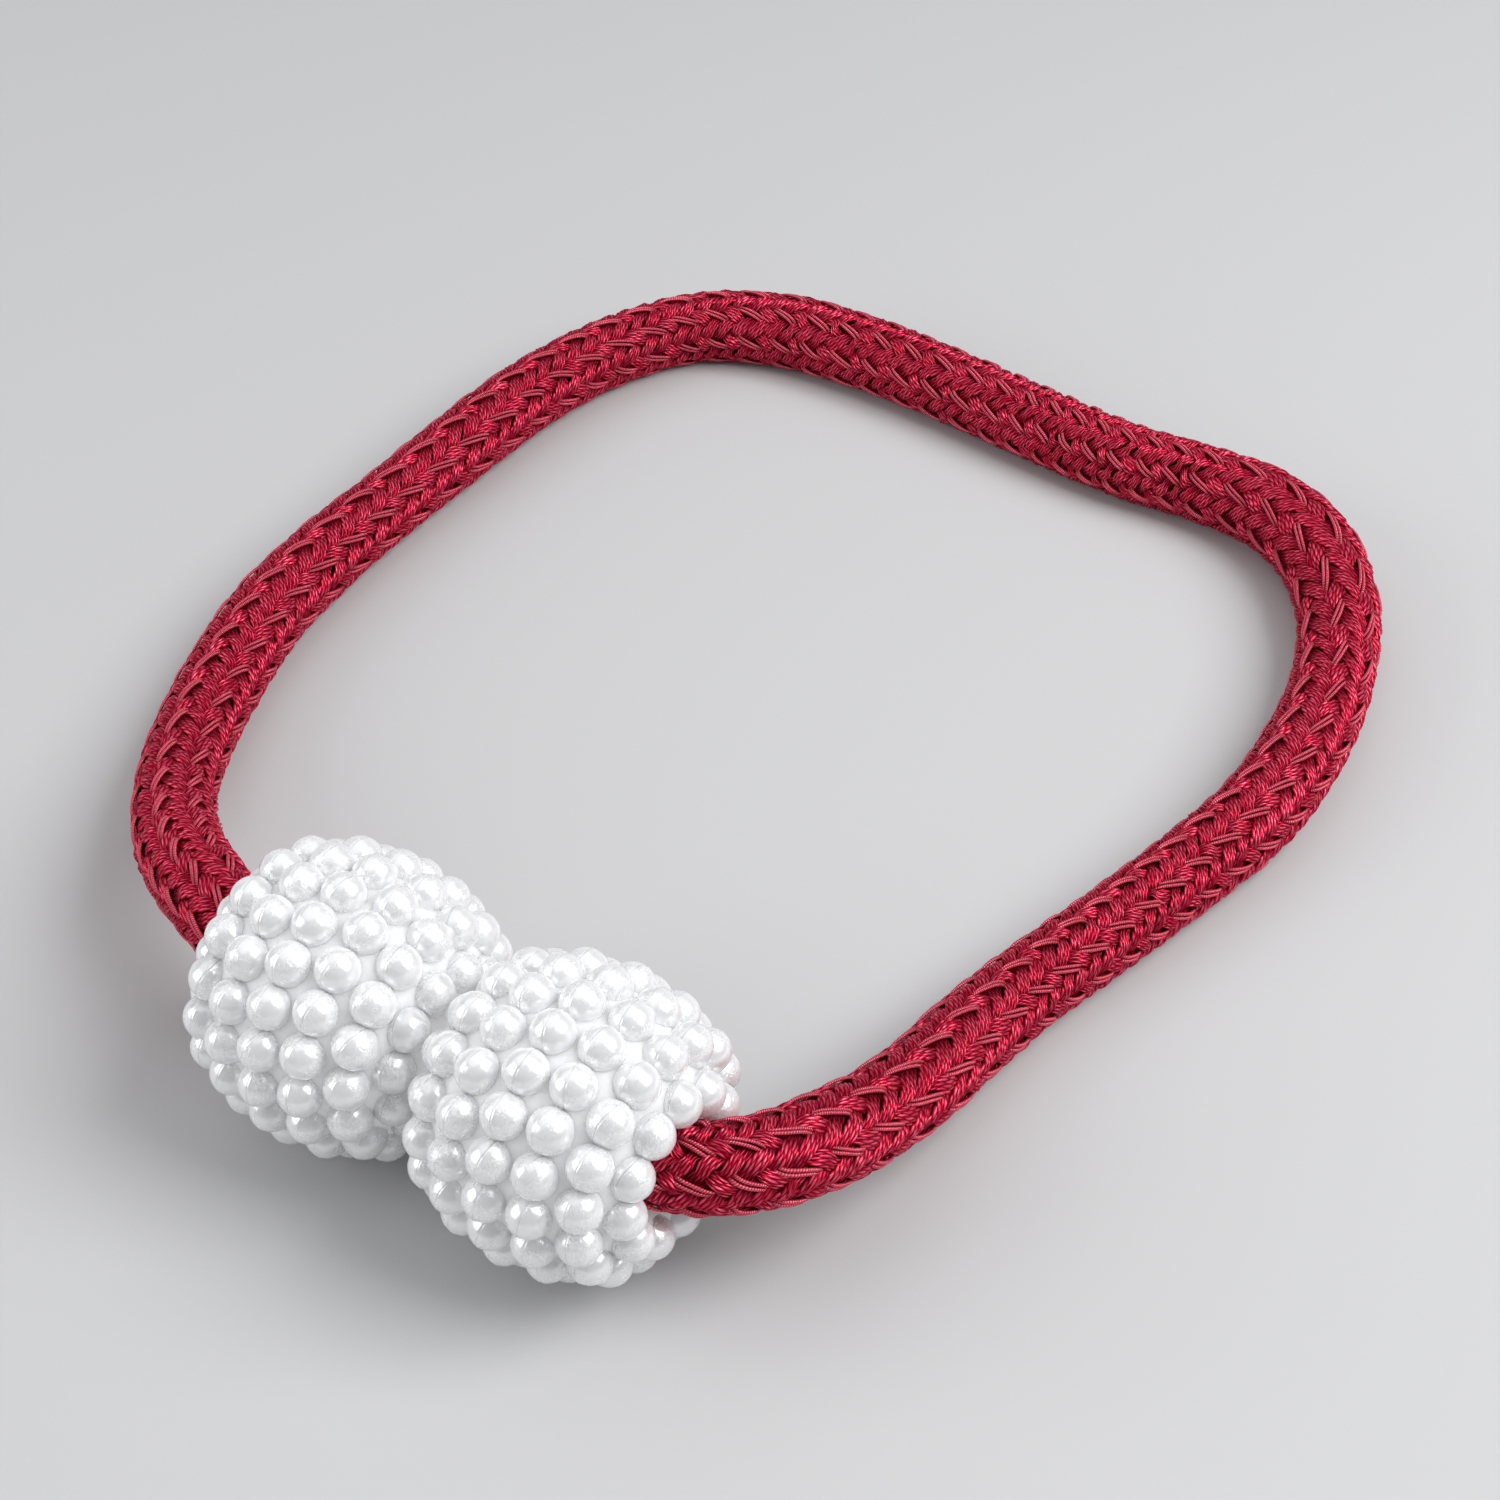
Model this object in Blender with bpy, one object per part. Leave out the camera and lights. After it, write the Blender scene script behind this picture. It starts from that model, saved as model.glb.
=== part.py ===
"""Magnetic curtain tieback lying closed on a flat surface.

One braided rope forms an open loop. A beaded ball sits on each end of it, and the
two balls hold each other face to face, with their common axis along X. The loop
lies behind them, towards +Y. The origin is under the middle of the whole part, on
the surface, with +Z up. Sizes are in millimetres and become metres as they are used.
"""
from collections import namedtuple
from math import cos, pi, radians, sin

import bmesh
import bpy
from mathutils import Matrix, Vector

MM = 0.001
MERGE_DISTANCE = 0.001 * MM
SHARP_ANGLE = radians(50)
PART_NAME = "magnetic_curtain_tieback"

# Balls
BEAD_RADIUS = 2.8
BALL_HEIGHT = 19.75
END_RING_ALONG = 14.45
GAP = 0.3
BALL_HALF_LENGTH = END_RING_ALONG + BEAD_RADIUS
CLOSURE_X = 19.2
CLOSURE_Y = -80.4
BALL_OFFSET = BALL_HALF_LENGTH + GAP / 2

# Ring of beads round a ball's axis: its place along X from the ball's middle, the
# radius to the bead centres, the number of beads, and the angle of the first bead
# from the top towards -Y, in degrees, on the right and on the left ball.
Ring = namedtuple("Ring", "along radius beads turn_right turn_left")
RINGS = (
    Ring(-END_RING_ALONG, 9.6, 11, 6.0, 20.0),
    Ring(-11.3, 14.3, 16, 14.7, 14.6),
    Ring(-5.9, 16.45, 18, 17.4, 0.8),
    Ring(0.0, 17.2, 19, 10.0, 16.1),
    Ring(5.9, 16.45, 18, 5.1, 7.8),
    Ring(11.3, 14.3, 16, 8.2, 10.8),
    Ring(END_RING_ALONG, 9.6, 11, 22.5, 4.0),
)

# Raised bead: steps of points down its dome, each an angle from the bead's top
# and a number of points round it.
DomeStep = namedtuple("DomeStep", "slope count")
DOME_STEPS = (DomeStep(38, 6), DomeStep(72, 8))
NEIGHBOUR_REACH = 9.0
VALLEY_SINK = 0.3

# Ends of a ball: a flat inner face that meets the other ball, and a mouth with a
# blind socket that the rope's end fills.
INNER_FACE_RADIUS = 6.6
MOUTH_RADIUS = 6.2
MOUTH_ALONG = 14.2
END_POINTS = 16
SOCKET_RADIUS = 5.8
SOCKET_FLOOR = 8.2
SOCKET_SIDES = 32
FLARE_START = 12.6
FLARE_END = 20.0
FLARE_RADIUS = 10.1
SOCKET_PROFILE = (
    (SOCKET_FLOOR, 0.0),
    (SOCKET_FLOOR, SOCKET_RADIUS),
    (FLARE_START, SOCKET_RADIUS),
    (FLARE_END, FLARE_RADIUS),
    (FLARE_END, 0.0),
)
GROOVE_SEGMENTS = 48
GROOVE_SIDES = 16

# Rope: the middle of its run, from the left ball round to the right one, measured
# from the point between the balls. lift is how far its underside is off the surface.
# Where it lies, it is flattened by FLAT_DEPTH.
RoutePoint = namedtuple("RoutePoint", "x y lift width")
FLAT_DEPTH = 0.15
MOUTH_WIDTH = 11.0
MOUTH_LIFT = BALL_HEIGHT - MOUTH_WIDTH / 2 + FLAT_DEPTH
ROUTE = (
    RoutePoint(-26.0, 0.0, MOUTH_LIFT, MOUTH_WIDTH),
    RoutePoint(-31.0, 0.0, MOUTH_LIFT, MOUTH_WIDTH),
    RoutePoint(-37.0, 1.2, 14.0, 11.4),
    RoutePoint(-43.5, 3.8, 12.9, 11.9),
    RoutePoint(-56.4, 10.8, 9.5, 12.0),
    RoutePoint(-69.2, 22.6, 5.1, 11.5),
    RoutePoint(-78.6, 36.4, 1.5, 11.8),
    RoutePoint(-84.8, 49.3, 0.0, 12.0),
    RoutePoint(-89.5, 64.0, 0.0, 11.9),
    RoutePoint(-91.9, 81.0, 0.0, 11.6),
    RoutePoint(-92.7, 98.0, 0.0, 11.1),
    RoutePoint(-92.8, 116.0, 0.0, 11.6),
    RoutePoint(-92.3, 135.5, 0.0, 11.6),
    RoutePoint(-88.9, 151.5, 0.0, 11.4),
    RoutePoint(-80.5, 166.0, 0.0, 11.6),
    RoutePoint(-69.4, 172.0, 0.0, 12.2),
    RoutePoint(-54.0, 174.4, 0.0, 12.3),
    RoutePoint(-35.6, 174.3, 0.0, 12.0),
    RoutePoint(-18.0, 173.0, 0.0, 12.0),
    RoutePoint(-2.1, 172.4, 0.0, 12.0),
    RoutePoint(13.0, 173.8, 0.0, 12.3),
    RoutePoint(23.0, 173.0, 0.0, 13.0),
    RoutePoint(33.0, 168.0, 0.0, 13.2),
    RoutePoint(42.5, 157.5, 0.0, 12.8),
    RoutePoint(49.5, 142.5, 0.0, 12.1),
    RoutePoint(53.3, 126.0, 0.0, 12.2),
    RoutePoint(54.2, 110.0, 0.0, 12.1),
    RoutePoint(51.8, 93.5, 0.0, 11.6),
    RoutePoint(48.2, 76.0, 0.0, 11.3),
    RoutePoint(44.9, 61.0, 0.0, 11.3),
    RoutePoint(43.7, 47.8, 1.1, 11.6),
    RoutePoint(44.0, 36.2, 3.7, 11.7),
    RoutePoint(43.6, 25.6, 6.9, 11.7),
    RoutePoint(42.5, 15.2, 10.7, 12.0),
    RoutePoint(40.1, 7.3, 13.6, 11.5),
    RoutePoint(35.2, 1.7, 14.6, 11.2),
    RoutePoint(31.2, 0.0, MOUTH_LIFT, MOUTH_WIDTH),
    RoutePoint(26.0, 0.0, MOUTH_LIFT, MOUTH_WIDTH),
)
ROPE_POINTS = 84
ROPE_BEVEL_RESOLUTION = 6
CURVE_STEPS = 24

FLOOR_CUTTER_SIZE = 400.0
FLOOR_CUTTER_DEPTH = 20.0


def clear_scene():
    for old_object in list(bpy.data.objects):
        bpy.data.objects.remove(old_object, do_unlink=True)


def new_collection(name):
    collection = bpy.data.collections.new(name)
    bpy.context.scene.collection.children.link(collection)
    return collection


def new_material(name, color, roughness):
    material = bpy.data.materials.new(name)
    material.use_nodes = True
    shader = material.node_tree.nodes["Principled BSDF"]
    shader.inputs["Base Color"].default_value = (*color, 1.0)
    shader.inputs["Roughness"].default_value = roughness
    shader.inputs["Metallic"].default_value = 0.0
    return material


def mesh_object(name, mesh, collection, material=None):
    new_object = bpy.data.objects.new(name, mesh)
    collection.objects.link(new_object)
    if material:
        mesh.materials.append(material)
    return new_object


def add_cut(target, cutter):
    cut = target.modifiers.new("cut_" + cutter.name, 'BOOLEAN')
    cut.operation = 'DIFFERENCE'
    cut.solver = 'EXACT'
    cut.object = cutter


def hide_cutter(cutter):
    cutter.hide_render = True
    cutter.display_type = 'WIRE'


def floor_cutter(collection):
    """Block whose top is the surface, so that what it cuts rests on flat spots."""
    mesh = bpy.data.meshes.new("floor_cutter")
    block = bmesh.new()
    size = Vector((FLOOR_CUTTER_SIZE, FLOOR_CUTTER_SIZE, FLOOR_CUTTER_DEPTH)) * MM
    bmesh.ops.create_cube(block, size=1.0, matrix=Matrix.Diagonal((*size, 1.0)))
    block.to_mesh(mesh)
    block.free()
    cutter = mesh_object("floor_cutter", mesh, collection)
    cutter.location = (0.0, 0.0, -FLOOR_CUTTER_DEPTH * MM / 2)
    hide_cutter(cutter)
    return cutter


def socket_cutter(name, mouth_side, collection):
    """Plug of a ball's blind hole, flared at the mouth; mouth_side is +1 towards +X."""
    mesh = bpy.data.meshes.new(name)
    plug = bmesh.new()
    chain = [plug.verts.new((along * MM, 0.0, radius * MM)) for along, radius in SOCKET_PROFILE]
    edges = [plug.edges.new(pair) for pair in zip(chain, chain[1:])]
    bmesh.ops.spin(
        plug, geom=chain + edges, cent=(0.0, 0.0, 0.0), axis=(1.0, 0.0, 0.0),
        angle=2 * pi, steps=SOCKET_SIDES, use_merge=True)
    bmesh.ops.remove_doubles(plug, verts=list(plug.verts), dist=MERGE_DISTANCE)
    bmesh.ops.recalc_face_normals(plug, faces=list(plug.faces))
    plug.to_mesh(mesh)
    plug.free()
    cutter = mesh_object(name, mesh, collection)
    cutter.location = ball_middle(mouth_side) * MM
    cutter.rotation_euler = (0.0, 0.0, 0.0 if mouth_side > 0 else pi)
    hide_cutter(cutter)
    return cutter


def mouth_groove(name, mouth_side, collection):
    """Ring that takes from the soft rope what a mouth's beads press in."""
    ring_along = Vector((mouth_side * END_RING_ALONG, 0.0, 0.0))
    bpy.ops.mesh.primitive_torus_add(
        major_segments=GROOVE_SEGMENTS, minor_segments=GROOVE_SIDES,
        major_radius=RINGS[-1].radius * MM, minor_radius=(BEAD_RADIUS + GAP) * MM,
        location=(ball_middle(mouth_side) + ring_along) * MM, rotation=(0.0, pi / 2, 0.0))
    groove = bpy.context.object
    groove.name = name
    for linked in list(groove.users_collection):
        linked.objects.unlink(groove)
    collection.objects.link(groove)
    hide_cutter(groove)
    return groove


def bead_centres(turns):
    """Centres of a ball's beads from its middle; turns holds one angle a ring."""
    centres = []
    for ring, turn in zip(RINGS, turns):
        for index in range(ring.beads):
            angle = radians(turn) + 2 * pi * index / ring.beads
            across = Vector((0.0, -sin(angle), cos(angle))) * ring.radius
            centres.append(across + Vector((ring.along, 0.0, 0.0)))
    return centres


def dome_points(centre):
    """Points of one raised bead: its top, then the steps down its side."""
    outward = centre.normalized()
    sideways = outward.orthogonal().normalized()
    points = [centre + outward * BEAD_RADIUS]
    for step in DOME_STEPS:
        slope = radians(step.slope)
        for index in range(step.count):
            turned = Matrix.Rotation(2 * pi * index / step.count, 3, outward) @ sideways
            points.append(centre + (outward * cos(slope) + turned * sin(slope)) * BEAD_RADIUS)
    return points


def valley_points(centres):
    """A point in each hollow between three neighbouring beads."""
    points = []
    hull = spherical_hull(centres)
    for face in hull.faces:
        corners = [vertex.co for vertex in face.verts]
        edges = [(a - b).length for a, b in zip(corners, corners[1:] + corners[:1])]
        if max(edges) < NEIGHBOUR_REACH:
            middle = sum(corners, Vector()) / len(corners)
            points.append(middle - middle.normalized() * VALLEY_SINK)
    hull.free()
    return points


def end_points(along, radius):
    """Ring of points and its middle, for a flat round end."""
    points = [Vector((along, 0.0, 0.0))]
    for index in range(END_POINTS):
        angle = 2 * pi * index / END_POINTS
        points.append(Vector((along, radius * cos(angle), radius * sin(angle))))
    return points


def spherical_hull(points):
    """Closed skin over points that each lie in their own direction from the middle.

    The points are joined as their directions on a round ball would be, and then
    moved out to their real places.
    """
    skin = bmesh.new()
    for point in points:
        skin.verts.new(point.normalized())
    skin.verts.ensure_lookup_table()
    bmesh.ops.convex_hull(skin, input=list(skin.verts))
    bmesh.ops.triangulate(skin, faces=list(skin.faces))
    for vertex, point in zip(skin.verts, points):
        vertex.co = point
    bmesh.ops.recalc_face_normals(skin, faces=list(skin.faces))
    return skin


def ball_middle(mouth_side):
    x = CLOSURE_X + mouth_side * BALL_OFFSET
    return Vector((x, CLOSURE_Y, BALL_HEIGHT))


def bead_ball(name, mouth_side, turns, parts, cutters, floor, material):
    """Ball with raised beads; its mouth faces +X when mouth_side is +1."""
    centres = bead_centres(turns)
    points = [point for centre in centres for point in dome_points(centre)]
    points += valley_points(centres)
    points += end_points(mouth_side * MOUTH_ALONG, MOUTH_RADIUS)
    points += end_points(-mouth_side * BALL_HALF_LENGTH, INNER_FACE_RADIUS)
    skin = spherical_hull(points)
    bmesh.ops.scale(skin, vec=(MM, MM, MM), verts=list(skin.verts))
    mesh = bpy.data.meshes.new(name)
    skin.to_mesh(mesh)
    skin.free()
    ball = mesh_object(name, mesh, parts, material)
    mesh.shade_smooth()
    mesh.set_sharp_from_angle(angle=SHARP_ANGLE)
    ball.location = ball_middle(mouth_side) * MM
    add_cut(ball, socket_cutter(name + "_socket", mouth_side, cutters))
    add_cut(ball, floor)


def smooth_curve(rows, count):
    """Evenly spaced rows along a smooth curve through the given rows.

    Each row is a Vector. The curve between two rows is a cubic whose slopes are
    those of its neighbours, weighed by their distances.
    """
    gaps = [(b - a).length for a, b in zip(rows, rows[1:])]
    slopes = []
    for index, row in enumerate(rows):
        if index == 0:
            slopes.append((rows[1] - row) / gaps[0])
        elif index == len(rows) - 1:
            slopes.append((row - rows[-2]) / gaps[-1])
        else:
            before = (row - rows[index - 1]) / gaps[index - 1]
            after = (rows[index + 1] - row) / gaps[index]
            total = gaps[index - 1] + gaps[index]
            slopes.append((before * gaps[index] + after * gaps[index - 1]) / total)
    fine = []
    for index, gap in enumerate(gaps):
        leaving, arriving = slopes[index] * gap, slopes[index + 1] * gap
        for step in range(CURVE_STEPS):
            t = step / CURVE_STEPS
            start = rows[index] * (2 * t**3 - 3 * t**2 + 1) + leaving * (t**3 - 2 * t**2 + t)
            end = rows[index + 1] * (3 * t**2 - 2 * t**3) + arriving * (t**3 - t**2)
            fine.append(start + end)
    fine.append(rows[-1].copy())
    lengths = [0.0]
    for a, b in zip(fine, fine[1:]):
        lengths.append(lengths[-1] + (b - a).length)
    even = []
    place = 0
    for index in range(count):
        target = lengths[-1] * index / (count - 1)
        while place < len(lengths) - 2 and lengths[place + 1] < target:
            place += 1
        share = (target - lengths[place]) / (lengths[place + 1] - lengths[place])
        even.append(fine[place].lerp(fine[place + 1], share))
    return even


def rope_rows():
    """Route rows as four numbers: x, y, the middle's height and the width."""
    rows = []
    for point in ROUTE:
        height = point.lift + point.width / 2 - FLAT_DEPTH
        rows.append(Vector((point.x + CLOSURE_X, point.y + CLOSURE_Y, height, point.width)))
    return smooth_curve(rows, ROPE_POINTS)


def braided_rope(rows, grooves, parts, floor, material):
    """The rope as a closed tube along its route, flat where it lies."""
    curve = bpy.data.curves.new("rope_run", 'CURVE')
    curve.dimensions = '3D'
    curve.twist_mode = 'Z_UP'
    curve.bevel_depth = MM
    curve.bevel_resolution = ROPE_BEVEL_RESOLUTION
    curve.use_fill_caps = True
    spline = curve.splines.new('POLY')
    spline.points.add(len(rows) - 1)
    for spline_point, row in zip(spline.points, rows):
        spline_point.co = (row[0] * MM, row[1] * MM, row[2] * MM, 1.0)
        spline_point.radius = row[3] / 2
    run = bpy.data.objects.new("rope_run", curve)
    parts.objects.link(run)
    evaluated = run.evaluated_get(bpy.context.evaluated_depsgraph_get())
    mesh = bpy.data.meshes.new_from_object(evaluated)
    mesh.name = "braided_rope"
    shell = bmesh.new()
    shell.from_mesh(mesh)
    bmesh.ops.remove_doubles(shell, verts=list(shell.verts), dist=MERGE_DISTANCE)
    bmesh.ops.recalc_face_normals(shell, faces=list(shell.faces))
    shell.to_mesh(mesh)
    shell.free()
    rope = mesh_object("braided_rope", mesh, parts, material)
    rope.matrix_world = run.matrix_world.copy()
    bpy.data.objects.remove(run, do_unlink=True)
    mesh.shade_smooth()
    mesh.set_sharp_from_angle(angle=SHARP_ANGLE)
    for cutter in (*grooves, floor):
        add_cut(rope, cutter)


def main():
    clear_scene()
    parts = new_collection(PART_NAME)
    cutters = new_collection("cutters")
    floor = floor_cutter(cutters)
    pearl = new_material("pearl_white", (0.86, 0.87, 0.88), 0.25)
    crimson = new_material("crimson_braid", (0.42, 0.012, 0.035), 0.55)
    balls = (
        ("bead_ball_right", 1, [ring.turn_right for ring in RINGS]),
        ("bead_ball_left", -1, [ring.turn_left for ring in RINGS]),
    )
    grooves = []
    for name, mouth_side, turns in balls:
        bead_ball(name, mouth_side, turns, parts, cutters, floor, pearl)
        grooves.append(mouth_groove(name + "_groove", mouth_side, cutters))
    braided_rope(rope_rows(), grooves, parts, floor, crimson)


main()
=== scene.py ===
"""Magnetic curtain tieback: a silky braided rope that loops between two pearl-beaded balls.

Everything is in metres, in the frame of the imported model: the tieback lies on the
surface z = 0, the two balls share an axis along X, and the loop lies behind them
towards +Y. The rope is braided here strand by strand round the same run that its solid
has, and the balls get their separate beads, each in the place of a raised one.
"""
from collections import namedtuple
from math import cos, pi, radians, sin

import bpy
import numpy as np
from bpy.props import FloatProperty, FloatVectorProperty, IntProperty, PointerProperty
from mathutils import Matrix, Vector


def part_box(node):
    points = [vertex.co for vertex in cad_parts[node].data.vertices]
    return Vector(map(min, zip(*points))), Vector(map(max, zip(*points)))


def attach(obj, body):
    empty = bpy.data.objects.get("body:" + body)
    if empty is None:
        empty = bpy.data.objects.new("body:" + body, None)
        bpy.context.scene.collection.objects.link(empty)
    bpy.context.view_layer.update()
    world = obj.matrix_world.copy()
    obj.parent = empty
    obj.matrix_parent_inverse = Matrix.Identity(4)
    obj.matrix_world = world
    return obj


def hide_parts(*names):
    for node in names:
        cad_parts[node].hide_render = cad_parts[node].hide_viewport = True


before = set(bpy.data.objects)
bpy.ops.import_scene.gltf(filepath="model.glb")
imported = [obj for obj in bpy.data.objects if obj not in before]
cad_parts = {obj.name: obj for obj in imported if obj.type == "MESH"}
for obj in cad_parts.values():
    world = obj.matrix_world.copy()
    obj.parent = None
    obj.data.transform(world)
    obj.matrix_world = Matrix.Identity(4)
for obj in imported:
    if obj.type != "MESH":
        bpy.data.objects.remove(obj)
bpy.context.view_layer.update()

bl_info = {
    "name": "Magnetic curtain tieback",
    "version": (1, 0, 0),
    "blender": (4, 5, 0),
    "location": "3D View > Sidebar > Tieback",
    "description": "Braids the rope, sets the pearl beads and lights the stage",
    "category": "Object",
}

BODY = "root"
ROPE_NODE = "braided_rope"
BALL_NODES = {"right": "bead_ball_right", "left": "bead_ball_left"}
MOUTH_SIDE = {"right": 1.0, "left": -1.0}

# The point between the two balls, seen from above, and the height of their axis.
CLOSURE = ((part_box(BALL_NODES["left"])[1].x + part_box(BALL_NODES["right"])[0].x) / 2, -0.0804)
BALL_HEIGHT = 0.01975
BALL_OFFSET = 0.0174

# No point of the rope or of a bead lies closer to the surface than this.
SURFACE_CLEARANCE = 0.00004

# Rope: the middle of its run from the left ball round to the right one, measured from
# the closure. lift is how far its underside is off the surface, and the rope sinks a
# little where its yarns are pressed flat.
RoutePoint = namedtuple("RoutePoint", "x y lift width")
FLAT_DEPTH = 0.00015
MOUTH_WIDTH = 0.011
MOUTH_LIFT = BALL_HEIGHT - MOUTH_WIDTH / 2 + FLAT_DEPTH
ROUTE = (
    RoutePoint(-0.0260, 0.0000, MOUTH_LIFT, MOUTH_WIDTH),
    RoutePoint(-0.0310, 0.0000, MOUTH_LIFT, MOUTH_WIDTH),
    RoutePoint(-0.0370, 0.0012, 0.0140, 0.0114),
    RoutePoint(-0.0435, 0.0038, 0.0129, 0.0119),
    RoutePoint(-0.0564, 0.0108, 0.0095, 0.0120),
    RoutePoint(-0.0692, 0.0226, 0.0051, 0.0115),
    RoutePoint(-0.0786, 0.0364, 0.0015, 0.0118),
    RoutePoint(-0.0848, 0.0493, 0.0000, 0.0120),
    RoutePoint(-0.0895, 0.0640, 0.0000, 0.0119),
    RoutePoint(-0.0919, 0.0810, 0.0000, 0.0116),
    RoutePoint(-0.0927, 0.0980, 0.0000, 0.0111),
    RoutePoint(-0.0928, 0.1160, 0.0000, 0.0116),
    RoutePoint(-0.0923, 0.1355, 0.0000, 0.0116),
    RoutePoint(-0.0889, 0.1515, 0.0000, 0.0114),
    RoutePoint(-0.0805, 0.1660, 0.0000, 0.0116),
    RoutePoint(-0.0694, 0.1720, 0.0000, 0.0122),
    RoutePoint(-0.0540, 0.1744, 0.0000, 0.0123),
    RoutePoint(-0.0356, 0.1743, 0.0000, 0.0120),
    RoutePoint(-0.0180, 0.1730, 0.0000, 0.0120),
    RoutePoint(-0.0021, 0.1724, 0.0000, 0.0120),
    RoutePoint(0.0130, 0.1738, 0.0000, 0.0123),
    RoutePoint(0.0230, 0.1730, 0.0000, 0.0130),
    RoutePoint(0.0330, 0.1680, 0.0000, 0.0132),
    RoutePoint(0.0425, 0.1575, 0.0000, 0.0128),
    RoutePoint(0.0495, 0.1425, 0.0000, 0.0121),
    RoutePoint(0.0533, 0.1260, 0.0000, 0.0122),
    RoutePoint(0.0542, 0.1100, 0.0000, 0.0121),
    RoutePoint(0.0518, 0.0935, 0.0000, 0.0116),
    RoutePoint(0.0482, 0.0760, 0.0000, 0.0113),
    RoutePoint(0.0449, 0.0610, 0.0000, 0.0113),
    RoutePoint(0.0437, 0.0478, 0.0011, 0.0116),
    RoutePoint(0.0440, 0.0362, 0.0037, 0.0117),
    RoutePoint(0.0436, 0.0256, 0.0069, 0.0117),
    RoutePoint(0.0425, 0.0152, 0.0107, 0.0120),
    RoutePoint(0.0401, 0.0073, 0.0136, 0.0115),
    RoutePoint(0.0352, 0.0017, 0.0146, 0.0112),
    RoutePoint(0.0312, 0.0000, MOUTH_LIFT, MOUTH_WIDTH),
    RoutePoint(0.0260, 0.0000, MOUTH_LIFT, MOUTH_WIDTH),
)

# Braid: at a distance along the rope, how many rings of wrapped cords lie before it,
# and how far its first rib of wrapped cords lies from the rope's top, in degrees
# towards the inside of the loop.
BraidRow = namedtuple("BraidRow", "along rings turn")
BRAID = (
    BraidRow(0.0000, -1.9, 91),
    BraidRow(0.0125, 0, 88),
    BraidRow(0.0255, 2, 83),
    BraidRow(0.0380, 4, 86),
    BraidRow(0.0544, 6, 92),
    BraidRow(0.0716, 8, 91),
    BraidRow(0.1014, 12, 99),
    BraidRow(0.1324, 16, 100),
    BraidRow(0.1639, 20, 97),
    BraidRow(0.1921, 24, 94),
    BraidRow(0.2184, 28, 83),
    BraidRow(0.2427, 32, 72),
    BraidRow(0.2660, 36, 64),
    BraidRow(0.2839, 40, 58),
    BraidRow(0.2982, 43, 53),
    BraidRow(0.3140, 45, 47),
    BraidRow(0.3439, 48, 7),
    BraidRow(0.3610, 50, -16),
    BraidRow(0.3832, 53, -25),
    BraidRow(0.4024, 56, -30),
    BraidRow(0.4240, 60, -41),
    BraidRow(0.4417, 63, -47),
    BraidRow(0.4568, 65, -53),
    BraidRow(0.4744, 67, -60),
    BraidRow(0.4887, 69, -65),
    BraidRow(0.5070, 73, -66),
)
RIBS = 7
RIB_SPACING = 2 * pi / RIBS

# Each strand goes over the others at a rib's crest and under them half a rib on.
# Rows of its surface from one crest to the next, as shares of that distance.
FLOAT_ROWS = (-0.27, -0.19, -0.115, -0.04, 0.04, 0.115, 0.19, 0.27, 0.4, 0.6)
EVEN_ROWS = (-0.25, -0.15, -0.05, 0.05, 0.15, 0.25, 0.35, 0.45, 0.55, 0.65)

# How squarely a strand goes over and under the others: near 0 it is a plain wave.
SQUARENESS = 1.25

# Half a rib on, a left-laid bundle passes under a flat bundle on one side of its
# lowest point and under a thin pair of cords on the other, where it stays high.
CORD_CROSSING = 0.125
CORD_ROOM = 0.11
CORD_LIFT = 0.65

# Unevenness of the strands, as shares: a bundle's width and thickness, how far a yarn
# rises in its bundle, and how far the two cords of a pair lie apart, in cord radii,
# with how much that changes. The last is how far a cord rises, in metres.
BUNDLE_SWELL = 0.05
BUNDLE_THICKENING = 0.08
YARN_RISE = 0.13
CORD_APART = 1.16
CORD_WAVER = 0.14
CORD_RISE = 0.00006

# Yarn numbers of two strands are this far apart, so that no two yarns look alike.
YARN_STRIDE = 20.0

# Twist of a yarn: metres from one ply to the next, how much the plies slant over the
# yarn, and how uneven they are along it, both in plies.
Twist = namedtuple("Twist", "length slant wander")
PLIED = Twist(0.00135, 1.1, 1.2)
WRAPPED = Twist(0.00028, 0.3, 0.4)

CORE_ROWS = 240
CORE_SIDES = 20

# One seed for each kind of strand and one for the beads, for their unevenness.
LEFT_LAID_SEED = 40
RIGHT_LAID_SEED = 80
CORD_SEED = 37
BEAD_SEED = 5

# Ring of beads round a ball's axis: its place along X from the ball's middle, the
# radius to the bead centres, the number of beads, and the angle of the first bead
# from the top towards -Y, in degrees, on the right and on the left ball.
Ring = namedtuple("Ring", "along radius beads turn_right turn_left")
RINGS = (
    Ring(-0.01445, 0.0096, 11, 6.0, 20.0),
    Ring(-0.0113, 0.0143, 16, 14.7, 14.6),
    Ring(-0.0059, 0.01645, 18, 17.4, 0.8),
    Ring(0.0000, 0.0172, 19, 10.0, 16.1),
    Ring(0.0059, 0.01645, 18, 5.1, 7.8),
    Ring(0.0113, 0.0143, 16, 8.2, 10.8),
    Ring(0.01445, 0.0096, 11, 22.5, 4.0),
)

# Half section of a ball's moulded body: distance from the ball's middle towards its
# mouth, and radius. It starts at the floor of the rope's socket and ends at the
# middle of the face that meets the other ball.
BODY_SECTION = (
    (0.0082, 0.0), (0.0082, 0.0059), (0.0126, 0.0060), (0.0138, 0.0063), (0.0148, 0.0072),
    (0.0151, 0.0083), (0.0147, 0.0096), (0.0133, 0.0122), (0.0113, 0.0141), (0.0088, 0.0155),
    (0.0059, 0.01625), (0.0030, 0.0168), (0.0, 0.0170), (-0.0030, 0.0168), (-0.0059, 0.01625),
    (-0.0088, 0.0155), (-0.0113, 0.0141), (-0.0133, 0.0122), (-0.0147, 0.0096), (-0.0158, 0.0075),
    (-0.0170, 0.0069), (-0.01725, 0.0066), (-0.01725, 0.0),
)
BODY_SIDES = 72
TUBE_END_RADIUS = 0.00002

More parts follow.
